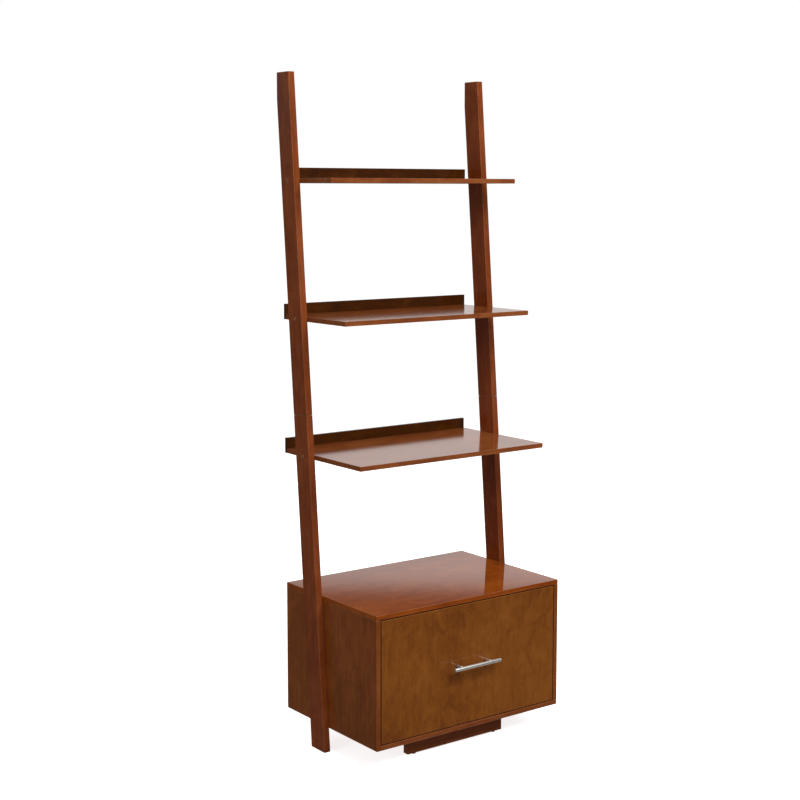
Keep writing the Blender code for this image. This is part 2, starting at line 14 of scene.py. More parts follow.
import bpy
import numpy as np
from mathutils import Euler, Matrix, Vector


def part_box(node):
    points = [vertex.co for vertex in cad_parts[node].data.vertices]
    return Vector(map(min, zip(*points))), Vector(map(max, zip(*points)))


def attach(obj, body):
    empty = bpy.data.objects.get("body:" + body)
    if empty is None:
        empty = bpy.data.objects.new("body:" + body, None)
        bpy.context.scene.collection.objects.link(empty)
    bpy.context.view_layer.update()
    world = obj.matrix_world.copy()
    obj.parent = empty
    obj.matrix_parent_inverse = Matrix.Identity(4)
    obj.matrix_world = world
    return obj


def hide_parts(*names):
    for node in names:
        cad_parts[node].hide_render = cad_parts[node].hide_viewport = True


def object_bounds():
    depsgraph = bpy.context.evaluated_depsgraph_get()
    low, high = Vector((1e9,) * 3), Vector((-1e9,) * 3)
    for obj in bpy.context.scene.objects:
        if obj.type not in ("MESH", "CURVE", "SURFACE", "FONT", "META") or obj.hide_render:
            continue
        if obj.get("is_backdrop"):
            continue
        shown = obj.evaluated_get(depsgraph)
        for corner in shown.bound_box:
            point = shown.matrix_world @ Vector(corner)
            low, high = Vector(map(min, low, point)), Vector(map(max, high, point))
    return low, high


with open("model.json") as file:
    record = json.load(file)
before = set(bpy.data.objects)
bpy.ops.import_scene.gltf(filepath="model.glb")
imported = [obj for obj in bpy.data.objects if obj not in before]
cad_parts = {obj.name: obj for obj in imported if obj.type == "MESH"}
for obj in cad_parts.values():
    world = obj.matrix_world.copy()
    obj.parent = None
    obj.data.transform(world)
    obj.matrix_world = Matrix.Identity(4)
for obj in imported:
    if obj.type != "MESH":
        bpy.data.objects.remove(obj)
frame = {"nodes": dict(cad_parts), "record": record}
cad_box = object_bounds()
bodies = frame["record"]["behaviour"]["bodies"]
BODY_OF = {node: body for body, nodes in bodies.items() for node in nodes}
SIDES = {"left": -1, "right": 1}
LEVELS = ("lower", "middle", "upper")
print("bodies:", ", ".join(bodies), "| pieces in the frame:", len(BODY_OF))

# %% [markdown]
# ## Colours and a small helper for shader nodes
#
# Paint makers and web pages give colours as sRGB hex values, but light adds up in linear values, so
# one function turns the first into the second. A second small function adds a node, sets it, links
# it and, if it is a Color Ramp, gives it its stops. With it each finish below reads as a short list
# of layers.

# %% Turn colours to linear and add nodes
def linear(colour):
    """sRGB hex to linear: c / 12.92 below 0.04045, else ((c + 0.055) / 1.055) ** 2.4."""
    shares = np.array([int(colour[i : i + 2], 16) for i in (1, 3, 5)]) / 255
    curved = ((shares + 0.055) / 1.055) ** 2.4
    return (*np.where(shares <= 0.04045, shares / 12.92, curved).tolist(), 1.0)


# A Mix node's colour sockets share their names with its other sockets, so they go by number.
COLOUR_A, COLOUR_B, COLOUR_OUT = 6, 7, 2


def add_node(tree, kind, links=None, sockets=None, stops=None, **settings):
    """Adds a node, sets its properties and sockets, and links other nodes' outputs to its sockets.

    The stops of a Color Ramp are {position: sRGB colour, or a plain strength}.
    """
    node = tree.nodes.new(kind)
    for name, value in settings.items():
        setattr(node, name, value)
    for name, value in (sockets or {}).items():
        node.inputs[name].default_value = value
    for name, output in (links or {}).items():
        tree.links.new(output, node.inputs[name])
    for number, (position, colour) in enumerate(sorted((stops or {}).items())):
        ramp = node.color_ramp.elements
        stop = ramp[number] if number < len(ramp) else ramp.new(position)
        stop.position = position
        stop.color = linear(colour) if isinstance(colour, str) else (colour, colour, colour, 1.0)
    return node


def new_finish(name, **sockets):
    """A material with one Principled shader whose constant values sit on the shader itself."""
    finish = bpy.data.materials.new(name)
    finish.use_nodes = True
    shader = finish.node_tree.nodes["Principled BSDF"]
    for socket, value in sockets.items():
        shader.inputs[socket.replace("_", " ")].default_value = value
    return finish, finish.node_tree, shader


print("stain colour in linear values:", [round(v, 3) for v in linear("#8A4824")])

# %% [markdown]
# ## The stained wood
#
# The boards are birch, sanded, wiped with a reddish brown stain and sprayed with a satin lacquer.
# Birch takes stain unevenly, so the eye first sees a slow drift over the whole board and soft
# clouds some 5 cm wide, then the grain's streaks, and last the fine dark pores. Each of the four is
# one noise texture, drawn out along the grain, and each is mixed over the ones before it. A Mapping
# node of the Texture kind divides by its scale, so the scale is simply the pattern's real size
# across and along the grain. The same node turns the pattern along the board.
#
# The lacquer is a clear coat that gives all the gloss, so the stain under it has none of its own.
# The stain's roughness still follows the pores, for a program that leaves the coat out.

# %% Make the finish of a stained board
MILLIMETRE = 0.001
GRAIN_TURNS = {
    "across": Euler((0, math.pi / 2, 0)),  # along X, as in the shelves
    "deep": Euler((-math.pi / 2, 0, 0)),  # along Y
    "upright": Euler((0, 0, 0)),  # along Z
}
DRIFT = (210, 330)  # millimetres across the grain and along it
STREAKS = (5, 120)
PORES = (1.4, 16)  # real pores are 0.1 mm wide; these are 1.4 mm, so that they show
DRIFT_SHARE = 0.45
PORE_SHARE = 0.18


def grain_size(across, along):
    """The size of one unit of a pattern, from millimetres across the grain and along it."""
    return (across * MILLIMETRE, across * MILLIMETRE, along * MILLIMETRE)


def stained_wood(
    name, turn, dark, middle, light, worn, shift=(0, 0, 0), cloud=(45, 80), streak=0.3, haze=0.12
):
    """Stained birch: drifts and clouds of stain, streaks, pores, rubbed arrises and lacquer."""
    finish, tree, shader = new_finish(
        name, IOR=1.5, Specular_IOR_Level=0.0, Coat_Weight=0.8, Coat_Roughness=haze, Coat_IOR=1.5
    )
    coords = add_node(tree, "ShaderNodeTexCoord").outputs["Object"]
    patterns = {
        "drift": (DRIFT, {"Detail": 1.0}),
        "clouds": (cloud, {"Detail": 3.5, "Roughness": 0.6, "Distortion": 0.9}),
        "streaks": (STREAKS, {"Detail": 4.0, "Roughness": 0.6, "Distortion": 0.3}),
        "pores": (PORES, {"Detail": 2.0}),
    }
    noise = {}
    for pattern, (size, sockets) in patterns.items():
        place = add_node(
            tree,
            "ShaderNodeMapping",
            {"Vector": coords},
            {"Location": shift, "Rotation": turn, "Scale": grain_size(*size)},
            vector_type="TEXTURE",
        ).outputs["Vector"]
        noise[pattern] = add_node(
            tree, "ShaderNodeTexNoise", {"Vector": place}, {"Scale": 1.0, **sockets}
        ).outputs["Fac"]
    figure = noise["clouds"]
    for pattern, share in {"drift": DRIFT_SHARE, "streaks": streak, "pores": PORE_SHARE}.items():
        figure = add_node(
            tree, "ShaderNodeMix", {"A": figure, "B": noise[pattern]}, {"Factor": share}
        ).outputs["Result"]
    stain = add_node(
        tree, "ShaderNodeValToRGB", {"Fac": figure}, stops={0.4: dark, 0.5: middle, 0.6: light}
    ).outputs["Color"]

    arris = add_node(tree, "ShaderNodeAttribute", attribute_name="arris").outputs["Fac"]
    rubbed = add_node(
        tree,
        "ShaderNodeMath",
        {0: arris, 1: noise["streaks"]},
        operation="MULTIPLY",
        use_clamp=True,
    ).outputs["Value"]
    colour = add_node(
        tree,
        "ShaderNodeMix",
        {"Factor": rubbed, COLOUR_A: stain},
        {COLOUR_B: linear(worn)},
        data_type="RGBA",
    ).outputs[COLOUR_OUT]
    tree.links.new(colour, shader.inputs["Base Color"])

    gloss = add_node(
        tree,
        "ShaderNodeMapRange",
        {"Value": noise["pores"]},
        {"From Min": 0.3, "From Max": 0.7, "To Min": 0.46, "To Max": 0.34},
    ).outputs["Result"]
    tree.links.new(gloss, shader.inputs["Roughness"])
    relief = add_node(
        tree, "ShaderNodeBump", {"Height": figure}, {"Strength": 0.2, "Distance": 0.0002}
    ).outputs["Normal"]
    tree.links.new(relief, shader.inputs["Normal"])
    return finish


print("grain runs", ", ".join(GRAIN_TURNS))

# %% [markdown]
# ## A board with eased arrises
#
# No real board has a knife edge. A maker runs sandpaper along each arris and leaves a round of
# about one millimetre, and it is that round which catches the light. A bevel on a plain box would
# do, but a formula gives the same shape and also says how far each point is round the arris, which
# the finish uses to rub the stain thin there.
#
# Picture a small ball that rolls along an outline drawn in by the ball's radius, first at the lower
# face and then at the upper one. The surface that it touches is the board.

# %% Work out a board from its outline
ARRIS = 1.1 * MILLIMETRE
ARC_STEPS = 4


def close_shell(name, index, points, normals, arris, ends):
    """Makes a mesh from a grid of point numbers that closes on itself around.

    Where neighbours in the first or last row share one point, the quad between them is a triangle.
    """
    here, above = index[:-1], index[1:]
    quads = np.stack([here, np.roll(here, -1, 1), np.roll(above, -1, 1), above], -1).reshape(-1, 4)
    first_pair = quads[:, 0] == quads[:, 1]
    last_pair = quads[:, 2] == quads[:, 3]
    whole = quads[~first_pair & ~last_pair].tolist()
    lower_fans = quads[first_pair & ~last_pair][:, 1:].tolist()
    upper_fans = quads[last_pair & ~first_pair][:, :3].tolist()
    mesh = bpy.data.meshes.new(name)
    mesh.from_pydata(points.tolist(), [], whole + lower_fans + upper_fans + ends)
    mesh.shade_smooth()
    if arris is not None:
        mesh.attributes.new("arris", "FLOAT", "POINT").data.foreach_set("value", arris)
    if normals is not None:
        mesh.normals_split_custom_set_from_vertices(normals.tolist())
    mesh.update()
    return bpy.data.objects.new(name, mesh)


def eased_board(name, outline, low, high, axis="Z", radius=ARRIS):
    """A convex outline given thickness, with every arris rounded.

    Point = inset corner + radius * (cos t cos a, cos t sin a, sin t). The angle a turns from one
    side's outward direction to the next, and t climbs from -90 to 90 degrees, with the lower half
    standing at low + radius and the upper half at high - radius. The arris value is sin 2t on the
    rounds along the faces and sin of the turned share around the corners, so it is 0 on each flat.
    """
    corners = np.asarray(outline, float)
    sides = np.roll(corners, -1, 0) - corners
    facing = np.stack([sides[:, 1], -sides[:, 0]], 1) / np.linalg.norm(sides, axis=1)[:, None]
    before = np.roll(facing, 1, 0)
    lean = 1 + (before * facing).sum(1, keepdims=True)
    inset = corners - radius * (before + facing) / lean

    start = np.arctan2(before[:, 1], before[:, 0])
    turn = (np.arctan2(facing[:, 1], facing[:, 0]) - start) % (2 * math.pi)
    share = np.linspace(0, 1, ARC_STEPS + 1)
    angle = (start[:, None] + turn[:, None] * share).ravel()
    around = np.repeat(inset, ARC_STEPS + 1, axis=0)
    quarter = np.linspace(0, math.pi / 2, ARC_STEPS + 1)
    climb = np.concatenate([-quarter[::-1], quarter])
    stand = np.repeat([low + radius, high - radius], ARC_STEPS + 1)

    across = np.cos(climb)[:, None, None]
    outward = np.stack([np.cos(angle), np.sin(angle)], 1)[None]
    flat = around[None] + radius * across * outward
    height = (stand + radius * np.sin(climb))[:, None, None] + 0 * flat[..., :1]
    points = np.concatenate([flat, height], -1)
    rise = np.sin(climb)[:, None, None] + 0 * height
    normals = np.concatenate([across * outward, rise], -1)
    round_face = np.sin(2 * np.abs(climb))[:, None]
    round_corner = np.tile(np.sin(math.pi * share), len(corners))[None] * np.cos(climb)[:, None]
    arris = np.maximum(round_face + 0 * round_corner, round_corner)

    rows, columns = len(climb), len(angle)
    per_corner = np.repeat(np.arange(len(corners)), ARC_STEPS + 1)
    middle = len(corners) + np.arange((rows - 2) * columns).reshape(rows - 2, columns)
    last = len(corners) + (rows - 2) * columns
    index = np.concatenate([per_corner[None], middle, last + per_corner[None]])
    pick = slice(None, None, ARC_STEPS + 1)

    def gather(grid):
        between = grid[1:-1].reshape(-1, *grid.shape[2:])
        return np.concatenate([grid[0, pick], between, grid[-1, pick]])

    order = {"Z": [0, 1, 2], "X": [2, 0, 1], "Y": [1, 2, 0]}[axis]
    ends = [list(range(len(corners)))[::-1], list(range(last, last + len(corners)))]
    return close_shell(
        name, index, gather(points)[:, order], gather(normals)[:, order], gather(arris), ends
    )


def rectangle(low, high):
    """The outline of a rectangle, counterclockwise from its low corner."""
    return [(low[0], low[1]), (high[0], low[1]), (high[0], high[1]), (low[0], high[1])]


def eased_box(node, radius=ARRIS):
    """A board as large as the frame's node."""
    low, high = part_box(node)
    return eased_board(f"eased_{node}", rectangle(low.xy, high.xy), low.z, high.z, radius=radius)


def stand_for(piece, node, finish):
    """Puts a finished piece in the scene in place of a node, riding on that node's body."""
    bpy.context.scene.collection.objects.link(piece)
    piece.data.materials.append(finish)
    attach(piece, BODY_OF[node])
    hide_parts(node)
    return piece


print(f"an arris is a round of {ARRIS * 1000:.1f} mm in {ARC_STEPS} steps")

# %% [markdown]
# ## The posts
#
# Each post is a plain 19 mm board that leans back by about five degrees. Its foot is cut level for
# the floor and its top is cut upright for the wall, and it comes in two lengths that meet in a
# square cut. The side view is therefore a convex outline with four or five corners, which the
# board function can take as it is. The grain follows the lean.

# %% Draw the posts' outlines and make them
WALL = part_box("back_rail_upper")[1].y
POST_WIDTH = 62.2 * MILLIMETRE
POST_TOP = cad_box[1].z
POST_FOOT_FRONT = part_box("post_lower_left")[0].y
WALL_CLEARANCE = 5 * MILLIMETRE
WALL_CUT = 70 * MILLIMETRE
JOINT_HEIGHT = 894 * MILLIMETRE
JOINT_GAP = 0.5 * MILLIMETRE

post_back = WALL - WALL_CLEARANCE - POST_FOOT_FRONT
post_rise = POST_TOP - WALL_CUT
LEAN = math.acos(POST_WIDTH / math.hypot(post_back, post_rise)) - math.atan2(post_rise, post_back)
GRAIN_TURNS["leaning"] = Euler((-LEAN, 0, 0))


def post_front(z):
    """How far back a post's front face is at this height."""
    return POST_FOOT_FRONT + math.tan(LEAN) * z


def post_point(along, across):
    """A point of the side view, this far up the post from its joint and behind its centre line."""
    middle = post_front(JOINT_HEIGHT) + POST_WIDTH / math.cos(LEAN) / 2
    y = middle + along * math.sin(LEAN) + across * math.cos(LEAN)
    return y, JOINT_HEIGHT + along * math.cos(LEAN) - across * math.sin(LEAN)


half, gap = POST_WIDTH / 2, JOINT_GAP / 2
foot_length = POST_WIDTH / math.cos(LEAN)
wall_face = WALL - WALL_CLEARANCE
POST_OUTLINES = {
    "lower": [
        (POST_FOOT_FRONT, 0),
        (POST_FOOT_FRONT + foot_length, 0),
        post_point(-gap, half),
        post_point(-gap, -half),
    ],
    "upper": [
        post_point(gap, -half),
        post_point(gap, half),
        (wall_face, POST_TOP - WALL_CUT),
        (wall_face, POST_TOP),
        (post_front(POST_TOP), POST_TOP),
    ],
}
POST_STAIN = ("#723414", "#83401E", "#934D28", "#AC663A")  # dark, middle, light, and rubbed arris
post_wood = stained_wood("birch, red-brown stain, post", GRAIN_TURNS["leaning"], *POST_STAIN)
for side in SIDES:
    for part, outline in POST_OUTLINES.items():
        node = f"post_{part}_{side}"
        low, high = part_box(node)
        board = eased_board(f"eased_{node}", outline, low.x, high.x, axis="X")
        stand_for(board, node, post_wood)
print(f"posts lean by {math.degrees(LEAN):.2f} degrees")

# %% [markdown]
# ## Shelves and back rails
#
# The shelves are 12.7 mm boards whose depth grows towards the floor. Each has a rail along its back
# edge that keeps things from falling behind. Their grain runs from post to post, as a maker would
# cut them for strength. The thin boards are sanded less than the posts, so their arrises are
# sharper. The rails' stain is much darker than the shelves': it is painted shade, the shadow cast
# on the rails by things kept on the shelves, things that are not made here.

# %% Make the shelves and rails
SHELF_ARRIS = 0.6 * MILLIMETRE
SHELF_STAIN = ("#73391A", "#874823", "#98582D", "#B06B3E")
# The rails' stain is darkened as painted shade: it stands for the shadow of things kept on the
# shelves.
RAIL_STAIN_WITH_PAINTED_SHADE = ("#341806", "#422006", "#522B0A", "#63381A")
RAIL_SHIFT = (0.3, 0, 0)  # so that a rail doesn't repeat its shelf's figure
shelf_wood = stained_wood("birch, red-brown stain, shelf", GRAIN_TURNS["across"], *SHELF_STAIN)
rail_wood_with_painted_shade = stained_wood(
    "birch, red-brown stain with painted shade, rail", GRAIN_TURNS["across"], *RAIL_STAIN_WITH_PAINTED_SHADE, shift=RAIL_SHIFT
)
for level in LEVELS:
    stand_for(eased_box(f"shelf_{level}", SHELF_ARRIS), f"shelf_{level}", shelf_wood)
    stand_for(eased_box(f"back_rail_{level}", SHELF_ARRIS), f"back_rail_{level}", rail_wood_with_painted_shade)
    low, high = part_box(f"shelf_{level}")
    print(f"{level} shelf: {(high.y - low.y) * 1000:.1f} mm deep")

# %% [markdown]
# ## The cabinet, its foot and the drawer's front
#
# The cabinet is a box of the same board. Its top has the clearest lacquer of all, so it mirrors the
# posts sharply. The drawer's front is a rotary-cut birch veneer: the grain stands upright and the
# stain settles in uneven clouds with a golden cast, the liveliest surface of the whole piece. It
# lies flush with the cabinet's edges, with a narrow dark line around it.

# %% Make the cabinet's boards
TOP_STAIN = ("#7F390C", "#924510", "#A15217", "#B06B3E")
SIDE_STAIN = ("#713814", "#82441B", "#925024", "#9E5C2E")
FRONT_STAIN = ("#703B12", "#824917", "#91541E", "#A56A35")
FOOT_STAIN = ("#6E3418", "#84431F", "#945029", "#A8643A")
top_wood = stained_wood(
    "birch, red-brown stain, cabinet top", GRAIN_TURNS["across"], *TOP_STAIN, haze=0.05
)
side_wood = stained_wood(
    "birch, red-brown stain, cabinet side", GRAIN_TURNS["upright"], *SIDE_STAIN
)
front_wood = stained_wood(
    "birch veneer, golden brown stain",
    GRAIN_TURNS["upright"],
    *FRONT_STAIN,
    cloud=(32, 48),
    streak=0.2,
)
foot_wood = stained_wood("birch, dark red-brown stain", GRAIN_TURNS["across"], *FOOT_STAIN)
cabinet_woods = {
    "cabinet_top": top_wood,
    "cabinet_floor": shelf_wood,
    "cabinet_side_left": side_wood,
    "cabinet_side_right": side_wood,
    "drawer_front": front_wood,
    "foot_board": foot_wood,
}
for node, wood in cabinet_woods.items():
    stand_for(eased_box(node), node, wood)

# %% [markdown]
# ## Turned metal: the bolts and the pull
#
# A lathe makes these. Its work is fully described by a profile, the radius at each height, so the
# mesh is that profile carried round an axis. A hexagonal socket is the same idea with the circle
# swapped for a hexagon in the rows that line it.

# %% Work out a turned piece
def frame_of(direction):
    """Two directions square to this one and to each other, and the direction itself, as rows."""
    along = np.array(direction, float)
    side = np.cross(along, (0, 0, 1)) if abs(along[2]) < 0.9 else np.array((1.0, 0, 0))
    side /= np.linalg.norm(side)
    return np.stack([side, np.cross(along, side), along])


def turned(name, profile, base, direction, steps=48, hexagon_rows=()):
    """A profile of (radius, height) pairs, bottom to top, carried round an axis.

    Point = base + radius * (cos a * side + sin a * other side) + height * direction. In a hexagon
    row the radius is multiplied by cos 30 / cos(a' - 30), with a' the angle past the last corner.
    """
    profile = np.asarray(profile, float)
    angle = np.arange(steps) / steps * 2 * math.pi
    radius = profile[:, :1] + 0 * angle[None]
    sixth = math.pi / 3
    hexagon = math.cos(sixth / 2) / np.cos(angle % sixth - sixth / 2)
    radius[list(hexagon_rows)] *= hexagon
    axes = frame_of(direction)
    local = np.stack(
        [radius * np.cos(angle), radius * np.sin(angle), profile[:, 1:] + 0 * radius], -1
    )
    points = np.asarray(base, float) + local @ axes
    rows = len(profile)
    index = 1 + np.arange((rows - 2) * steps).reshape(rows - 2, steps)
    top = 1 + (rows - 2) * steps
    index = np.concatenate([np.zeros((1, steps), int), index, np.full((1, steps), top)])
    points = np.concatenate([points[0, :1], points[1:-1].reshape(-1, 3), points[-1, :1]])
    return close_shell(name, index, points, None, None, [])


def rounded_rows(radius, height, ease, steps=4):
    """A round arris, side to end: (radius - ease (1 - cos t), height - ease (1 - sin t))."""
    t = np.linspace(0, math.pi / 2, steps + 1)
    return np.stack([radius - ease * (1 - np.cos(t)), height - ease * (1 - np.sin(t))], 1).tolist()


print("rows of a 1 mm round on a 5 mm rod:", len(rounded_rows(5, 10, 1)))

# %% [markdown]
# ### Shelf bolts
#
# The bolts that hold the shelves show on the posts' outer faces as small dark bronze discs with a
# hexagonal socket. They are steel with an antique bronze plating, which is brown where it has
# tarnished and closer to brass where it hasn't, so its colour and its polish change in patches.

# %% Make the bronze-plated bolts
bronze, tree, shader = new_finish("bronze-plated steel", Metallic=1.0)
coords = add_node(tree, "ShaderNodeTexCoord").outputs["Object"]
tarnish = add_node(  # patches of tarnish about 3 mm wide
    tree,
    "ShaderNodeTexNoise",
    {"Vector": coords},
    {"Scale": 330.0, "Detail": 3.0, "Roughness": 0.6},
).outputs["Fac"]
PLATING = {0.35: "#7A4E32", 0.6: "#B98458", 0.8: "#DDAA78"}
plating = add_node(tree, "ShaderNodeValToRGB", {"Fac": tarnish}, stops=PLATING)
tree.links.new(plating.outputs["Color"], shader.inputs["Base Color"])
dulling = add_node(
    tree, "ShaderNodeMapRange", {"Value": tarnish}, {"To Min": 0.62, "To Max": 0.46}
).outputs["Result"]
tree.links.new(dulling, shader.inputs["Roughness"])

BOLT_HEAD_RADIUS = 7.2 * MILLIMETRE
BOLT_HEAD_RISE = 2.1 * MILLIMETRE
BOLT_HEAD_DOME = 0.3 * MILLIMETRE
BOLT_RIM_EASE = 0.8 * MILLIMETRE
BOLT_UNDERCUT = 0.2 * MILLIMETRE
BOLT_SHANK_RADIUS = 3 * MILLIMETRE
SOCKET_RADIUS = 2.3 * MILLIMETRE
SOCKET_DEPTH = 1.2 * MILLIMETRE
SOCKET_MOUTH = (0.4 * MILLIMETRE, 0.2 * MILLIMETRE)  # its sloping edge, across and down
HEAD_GAP = 0.3 * MILLIMETRE


def bolt_profile(length):
    """Shank, flat underside, rounded rim, a slightly domed top and the socket's wall and floor."""
    rows = [(0, -length), (BOLT_SHANK_RADIUS, -length), (BOLT_SHANK_RADIUS, HEAD_GAP)]
    rows += [(BOLT_HEAD_RADIUS - BOLT_UNDERCUT, HEAD_GAP)]
    rows += rounded_rows(BOLT_HEAD_RADIUS, BOLT_HEAD_RISE - BOLT_HEAD_DOME, BOLT_RIM_EASE)
    rows += [(SOCKET_RADIUS + SOCKET_MOUTH[0], BOLT_HEAD_RISE)]
    socket = [BOLT_HEAD_RISE - SOCKET_MOUTH[1], BOLT_HEAD_RISE - SOCKET_DEPTH]
    rows += [(SOCKET_RADIUS, height) for height in socket]
    return rows + [(0, BOLT_HEAD_RISE - SOCKET_DEPTH)], [len(rows) - 2, len(rows) - 1]


for level in LEVELS:
    for side, way in SIDES.items():
        node = f"shelf_bolt_{level}_{side}"
        low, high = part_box(node)
        outer_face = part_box(f"post_upper_{side}")[0 if way < 0 else 1].x
        base = (outer_face, (low.y + high.y) / 2, (low.z + high.z) / 2)
        profile, socket_rows = bolt_profile((high.x - low.x) - BOLT_HEAD_RISE)
        bolt = turned(f"turned_{node}", profile, base, (way, 0, 0), hexagon_rows=socket_rows)
        stand_for(bolt, node, bronze)
print(f"bolt heads: {BOLT_HEAD_RADIUS * 2000:.1f} mm wide, {BOLT_HEAD_RISE * 1000:.1f} mm high")

# %% [markdown]
# ### The bar pull
#
# The pull is a stainless bar on two short posts. The bar is brushed: fine scratches run around it,
# and they smear each highlight along the bar. A bar made on a lathe has its scratches across its
# length, so the noise is drawn out around the bar and kept fine along it.

# %% Make the brushed steel pull
steel, tree, shader = new_finish("brushed stainless steel", Metallic=1.0)
coords = add_node(tree, "ShaderNodeTexCoord").outputs["Object"]
across_bar = add_node(  # scratches 0.3 mm apart along the bar, drawn out to 20 mm around it
    tree,
    "ShaderNodeMapping",
    {"Vector": coords},
    {"Scale": (0.3 * MILLIMETRE, 20 * MILLIMETRE, 20 * MILLIMETRE)},
    vector_type="TEXTURE",
).outputs["Vector"]
scratches = add_node(
    tree,
    "ShaderNodeTexNoise",
    {"Vector": across_bar},
    {"Scale": 1.0, "Detail": 4.0, "Roughness": 0.7},
).outputs["Fac"]
STEEL = {0.3: "#C6C3BE", 0.7: "#E6E3DE"}
steel_tone = add_node(tree, "ShaderNodeValToRGB", {"Fac": scratches}, stops=STEEL)
tree.links.new(steel_tone.outputs["Color"], shader.inputs["Base Color"])
satin = add_node(
    tree, "ShaderNodeMapRange", {"Value": scratches}, {"To Min": 0.4, "To Max": 0.5}
).outputs["Result"]
tree.links.new(satin, shader.inputs["Roughness"])
scratch_relief = add_node(
    tree, "ShaderNodeBump", {"Height": scratches}, {"Strength": 0.2, "Distance": 0.0001}
).outputs["Normal"]
tree.links.new(scratch_relief, shader.inputs["Normal"])

bar_low, bar_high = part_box("pull_bar")
bar_middle = (bar_low + bar_high) / 2
BAR_RADIUS = (bar_high.z - bar_low.z) / 2
BAR_LENGTH = bar_high.x - bar_low.x
BAR_END_EASE = 0.9 * MILLIMETRE
right_end = rounded_rows(BAR_RADIUS, BAR_LENGTH / 2, BAR_END_EASE)
left_end = [(radius, -height) for radius, height in right_end[::-1]]
bar_profile = [(0, -BAR_LENGTH / 2), *left_end, *right_end, (0, BAR_LENGTH / 2)]
stand_for(turned("turned_pull_bar", bar_profile, bar_middle, (1, 0, 0)), "pull_bar", steel)


def saddle_post(name, x, front, radius, rows=6, steps=40):
    """A round post from the drawer's front to the bar, its end hollowed to sit on the bar.

    With s the share of the way and a the angle, point = (x + r cos a, y, z + r sin a), where y runs
    from the front to the bar's own surface, bar y + sqrt(bar radius ** 2 - (r sin a) ** 2). The end
    rows shrink r to nothing, once on the front and once over the saddle.
    """
    angle = np.arange(steps) / steps * 2 * math.pi
    shrink = np.concatenate([[0, 0.9], np.ones(rows), [0.97, 0.5, 0]])[:, None]
    share = np.concatenate([[0, 0], np.linspace(0.02, 1, rows), [1, 1, 1]])[:, None]
    r = radius * shrink
    saddle = bar_middle.y + np.sqrt((BAR_RADIUS + HEAD_GAP) ** 2 - (r * np.sin(angle)) ** 2)
    y = front + (saddle - front) * share
    grid = np.stack([x + r * np.cos(angle), y, bar_middle.z + r * np.sin(angle)], -1)
    count = len(shrink)
    index = 1 + np.arange((count - 2) * steps).reshape(count - 2, steps)
    top = 1 + (count - 2) * steps
    index = np.concatenate([np.zeros((1, steps), int), index, np.full((1, steps), top)])[:, ::-1]
    points = np.concatenate([grid[0, :1], grid[1:-1].reshape(-1, 3), grid[-1, :1]])
    return close_shell(name, index[::-1], points, None, None, [])


for side in SIDES:
    node = f"pull_post_{side}"
    low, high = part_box(node)
    post = saddle_post(f"turned_{node}", (low.x + high.x) / 2, high.y, (high.z - low.z) / 2)
    stand_for(post, node, steel)
print(f"pull: bar {BAR_LENGTH * 1000:.0f} mm long, {BAR_RADIUS * 2000:.0f} mm thick")

# %% [markdown]
# ## Glides
#
# Two moulded nylon glides are nailed under the foot board so that the cabinet can be slid into
# place. Moulded nylon is matt, with a faint sheen on its rounded rim.

# %% Make the nylon glides
nylon, tree, shader = new_finish("moulded black nylon", IOR=1.53)
coords = add_node(tree, "ShaderNodeTexCoord").outputs["Object"]
moulding = add_node(  # the mould's spark-eroded grain, drawn 0.7 mm wide
    tree, "ShaderNodeTexNoise", {"Vector": coords}, {"Scale": 1400.0, "Detail": 2.0}
).outputs["Fac"]
NYLON = {0.3: "#181412", 0.7: "#2A2320"}
nylon_tone = add_node(tree, "ShaderNodeValToRGB", {"Fac": moulding}, stops=NYLON)
tree.links.new(nylon_tone.outputs["Color"], shader.inputs["Base Color"])
sheen = add_node(tree, "ShaderNodeMapRange", {"Value": moulding}, {"To Min": 0.4, "To Max": 0.62})
tree.links.new(sheen.outputs["Result"], shader.inputs["Roughness"])

GLIDE_THICKNESS = 3 * MILLIMETRE
GLIDE_EASE = 1.2 * MILLIMETRE
NAIL_RADIUS = 1.5 * MILLIMETRE
for side in SIDES:
    node = f"glide_{side}"
    low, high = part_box(node)
    radius, waist = (high.x - low.x) / 2, GLIDE_THICKNESS / 2
    underside = [(r, waist - h) for r, h in rounded_rows(radius, waist, GLIDE_EASE)]
    rows = [(0, 0), *underside[::-1], (radius, GLIDE_THICKNESS), (NAIL_RADIUS, GLIDE_THICKNESS)]
    rows += [(NAIL_RADIUS, high.z), (0, high.z)]
    place = ((low.x + high.x) / 2, (low.y + high.y) / 2, 0)
    stand_for(turned(f"moulded_{node}", rows, place, (0, 0, 1)), node, nylon)
print(f"glides: {radius * 2000:.0f} mm wide")

# %% [markdown]
# ## Drawer slides and file bars
#
# A drawer slide is a strip of zinc-plated sheet rolled into a channel. Rolling leaves round bends,
# so the section's corners are rounded before the section is carried along the slide. The zinc is
# bright with a faint blue cast and a pattern of large flat crystals.

# %% Make the rolled steel slides
zinc, tree, shader = new_finish("zinc-plated steel", Metallic=1.0)
coords = add_node(tree, "ShaderNodeTexCoord").outputs["Object"]
crystals = add_node(  # zinc crystals about 5 mm wide
    tree, "ShaderNodeTexVoronoi", {"Vector": coords}, {"Scale": 200.0, "Randomness": 1.0}
).outputs["Color"]
crystal_tone = add_node(tree, "ShaderNodeRGBToBW", {"Color": crystals}).outputs["Val"]
ZINC = {0.2: "#A3A8AC", 0.8: "#C3C7C9"}
zinc_tone = add_node(tree, "ShaderNodeValToRGB", {"Fac": crystal_tone}, stops=ZINC)
tree.links.new(zinc_tone.outputs["Color"], shader.inputs["Base Color"])
zinc_gloss = add_node(
    tree, "ShaderNodeMapRange", {"Value": crystal_tone}, {"To Min": 0.28, "To Max": 0.42}
)
tree.links.new(zinc_gloss.outputs["Result"], shader.inputs["Roughness"])

SHEET = 1.2 * MILLIMETRE
LIP = 2.2 * MILLIMETRE


